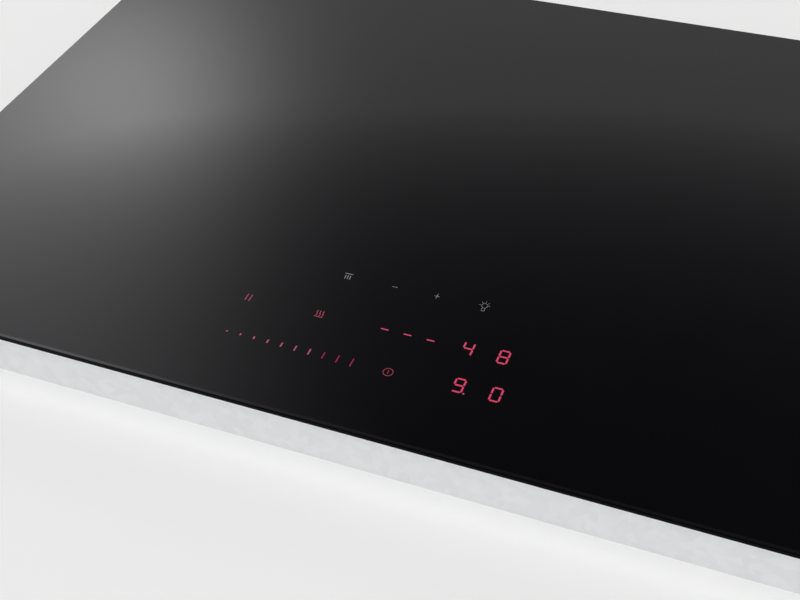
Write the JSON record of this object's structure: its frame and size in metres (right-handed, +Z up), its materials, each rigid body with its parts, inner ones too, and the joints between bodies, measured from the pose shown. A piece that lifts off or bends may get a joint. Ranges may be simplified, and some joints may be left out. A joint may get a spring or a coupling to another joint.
{
  "type": "induction cooktop",
  "caption": "Built-in black glass induction cooktop with touch slider controls, four hidden coils, blowers, base pan and swing-out worktop clamps.",
  "frame": {"origin": "middle of the base pan's underside", "axes": "+X to the right along the width, +Y from the control strip at the front to the back, +Z up through the glass"},
  "size_m": [0.77, 0.514, 0.054],
  "materials": {
    "black_glass": "polished black glass ceramic, opaque from above",
    "seal_foam": "matt closed-cell foam tape",
    "silicone": "cured silicone",
    "steel_frame": "rolled steel",
    "zinc_sheet": "zinc-coated sheet steel",
    "steel_screw": "zinc-plated steel",
    "dark_plastic": "fine-grained black moulding",
    "light_plastic": "natural white moulding",
    "circuit_board": "green solder resist",
    "aluminium": "plain aluminium",
    "black_component": "moulded component case",
    "film_component": "blue capacitor case",
    "copper_winding": "lacquered copper strand",
    "ferrite": "sintered ferrite",
    "lead_sleeve": "silicone sleeve",
    "mica": "pressed mica",
    "display_face": "grey display face",
    "touch_foam": "conductive foam",
    "ribbon": "grey ribbon cable",
    "brass": "nickel-free brass screw"
  },
  "bodies": {
    "housing": {"adhesive_bead": "silicone", "base_pan": "zinc_sheet", "blower_covers": "dark_plastic", "blower_housings": "dark_plastic", "blower_screws": "steel_screw", "board_connectors": "light_plastic", "board_supports": "light_plastic", "bulk_capacitors": "black_component", "cable_clamp": "light_plastic", "cable_gland": "silicone", "coil_carriers": "dark_plastic", "coil_leads": "lead_sleeve", "coil_trays": "aluminium", "coil_winding_front_left": "copper_winding", "coil_winding_front_right": "copper_winding", "coil_winding_rear_left": "copper_winding", "coil_winding_rear_right": "copper_winding", "control_board": "circuit_board", "control_carrier": "dark_plastic", "exhaust_grilles": "dark_plastic", "fan_motors": "steel_frame", "ferrite_bars": "ferrite", "film_capacitors": "film_component", "filter_board": "circuit_board", "filter_chokes": "copper_winding", "glass_plate": "black_glass", "heat_sinks": "aluminium", "intake_grilles": "dark_plastic", "leaf_springs": "steel_screw", "mains_leads": "lead_sleeve", "mica_sheets": "mica", "pan_screws": "steel_screw", "power_boards": "circuit_board", "power_transistors": "black_component", "ribbon_cable": "ribbon", "sealing_tape": "seal_foam", "slider_light_guide": "light_plastic", "standby_transformer": "black_component", "support_frame": "steel_frame", "temperature_sensors": "silicone", "terminal_block": "light_plastic", "terminal_box": "dark_plastic", "terminal_box_screws": "steel_screw", "terminal_screws": "brass", "timer_display": "display_face", "touch_pads": "touch_foam", "tray_posts": "aluminium", "zone_displays": "display_face"},
    "impeller_left": {"impeller_left": "light_plastic"},
    "impeller_right": {"impeller_right": "light_plastic"},
    "terminal_cover": {"terminal_cover": "dark_plastic"},
    "clamp_screw_front_left": {"clamp_screw_front_left": "steel_screw"},
    "clamp_arm_front_left": {"clamp_arm_front_left": "zinc_sheet"},
    "clamp_screw_rear_left": {"clamp_screw_rear_left": "steel_screw"},
    "clamp_arm_rear_left": {"clamp_arm_rear_left": "zinc_sheet"},
    "clamp_screw_front_right": {"clamp_screw_front_right": "steel_screw"},
    "clamp_arm_front_right": {"clamp_arm_front_right": "zinc_sheet"},
    "clamp_screw_rear_right": {"clamp_screw_rear_right": "steel_screw"},
    "clamp_arm_rear_right": {"clamp_arm_rear_right": "zinc_sheet"}
  },
  "joints": [
    {"name": "impeller_left_spin", "type": "hinge", "parent": "housing", "child": "impeller_left", "pos_m": [-0.06808, 0.06002, 0.015], "axis": [0, 0, 1], "continuous": true},
    {"name": "impeller_right_spin", "type": "hinge", "parent": "housing", "child": "impeller_right", "pos_m": [0.06808, 0.06002, 0.015], "axis": [0, 0, 1], "continuous": true},
    {"name": "terminal_cover_hinge", "type": "hinge", "parent": "housing", "child": "terminal_cover", "pos_m": [0.272, 0.238, 0.0026], "axis": [-1, 0, 0], "range_deg": [0, 90]},
    {"name": "clamp_front_left_swing", "type": "hinge", "parent": "housing", "child": "clamp_screw_front_left", "pos_m": [-0.364, -0.20005, 0.0164], "axis": [0, 0, 1], "range_deg": [0, 90]},
    {"name": "clamp_front_left_climb", "type": "slide", "parent": "clamp_screw_front_left", "child": "clamp_arm_front_left", "axis": [0, 0, 1], "range_m": [0, 0.014]},
    {"name": "clamp_rear_left_swing", "type": "hinge", "parent": "housing", "child": "clamp_screw_rear_left", "pos_m": [-0.364, 0.20005, 0.0164], "axis": [0, 0, -1], "range_deg": [0, 90]},
    {"name": "clamp_rear_left_climb", "type": "slide", "parent": "clamp_screw_rear_left", "child": "clamp_arm_rear_left", "axis": [0, 0, 1], "range_m": [0, 0.014]},
    {"name": "clamp_front_right_swing", "type": "hinge", "parent": "housing", "child": "clamp_screw_front_right", "pos_m": [0.364, -0.20005, 0.0164], "axis": [0, 0, -1], "range_deg": [0, 90]},
    {"name": "clamp_front_right_climb", "type": "slide", "parent": "clamp_screw_front_right", "child": "clamp_arm_front_right", "axis": [0, 0, 1], "range_m": [0, 0.014]},
    {"name": "clamp_rear_right_swing", "type": "hinge", "parent": "housing", "child": "clamp_screw_rear_right", "pos_m": [0.364, 0.20005, 0.0164], "axis": [0, 0, 1], "range_deg": [0, 90]},
    {"name": "clamp_rear_right_climb", "type": "slide", "parent": "clamp_screw_rear_right", "child": "clamp_arm_rear_right", "axis": [0, 0, 1], "range_m": [0, 0.014]}
  ]
}
